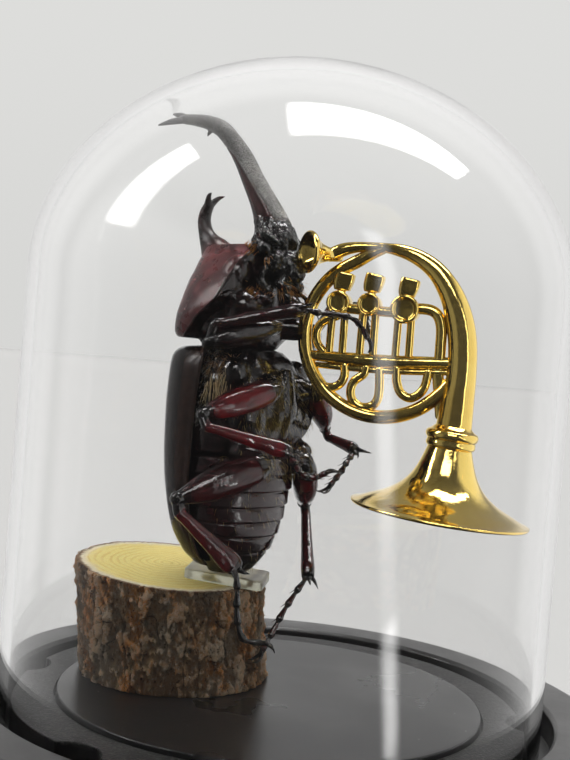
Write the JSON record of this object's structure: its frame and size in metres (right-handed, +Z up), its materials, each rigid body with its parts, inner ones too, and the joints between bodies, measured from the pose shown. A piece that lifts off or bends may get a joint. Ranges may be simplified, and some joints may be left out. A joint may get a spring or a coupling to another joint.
{
  "type": "mounted beetle in a glass dome",
  "caption": "Mounted horned beetle that holds a miniature gold French horn, on a log slice inside a clear glass dome with a round black base",
  "frame": {"origin": "centre of the base's underside", "axes": "+Z up the dome's axis, -Y to the front, +X to the French horn's bell"},
  "size_m": [0.114, 0.114, 0.1201],
  "materials": {
    "base_plastic": "black moulded plastic with a fine spark-eroded texture on the deck and a satin rim",
    "plate_plastic": "smooth satin black plastic disc",
    "dome_glass": "clear blown glass, polished",
    "log_wood": "sawn end grain with rough grey-brown bark round the side",
    "pad_acrylic": "clear acrylic, cut edges",
    "horn_chitin": "hard black chitin, velvety grey on top of the horn and glossy on the skull",
    "back_chitin": "dark red-brown chitin, satin",
    "belly_chitin": "glossy dark red-brown chitin with sparse hairs",
    "wing_case_chitin": "glossy black-brown chitin",
    "leg_chitin": "polished dark red to black chitin",
    "gold_plate": "polished gold plating"
  },
  "bodies": {
    "root": {"base": "base_plastic", "base_plate": "plate_plastic", "glass_dome": "dome_glass", "log_slice": "log_wood", "acrylic_pad": "pad_acrylic", "head": "horn_chitin", "prothorax": "back_chitin", "thorax": "belly_chitin", "abdomen": "belly_chitin", "right_wing_case": "wing_case_chitin", "left_wing_case": "wing_case_chitin", "right_front_thigh": "leg_chitin", "right_front_shin": "leg_chitin", "right_front_foot": "leg_chitin", "left_front_thigh": "leg_chitin", "left_front_shin": "leg_chitin", "left_front_foot": "leg_chitin", "right_middle_thigh": "leg_chitin", "right_middle_shin": "leg_chitin", "right_middle_foot": "leg_chitin", "left_middle_thigh": "leg_chitin", "left_middle_shin": "leg_chitin", "left_middle_foot": "leg_chitin", "right_hind_thigh": "leg_chitin", "right_hind_shin": "leg_chitin", "right_hind_foot": "leg_chitin", "left_hind_thigh": "leg_chitin", "left_hind_shin": "leg_chitin", "left_hind_foot": "leg_chitin", "french_horn_main_tube": "gold_plate", "french_horn_bell": "gold_plate", "french_horn_coil": "gold_plate", "french_horn_valves": "gold_plate"}
  },
  "joints": []
}
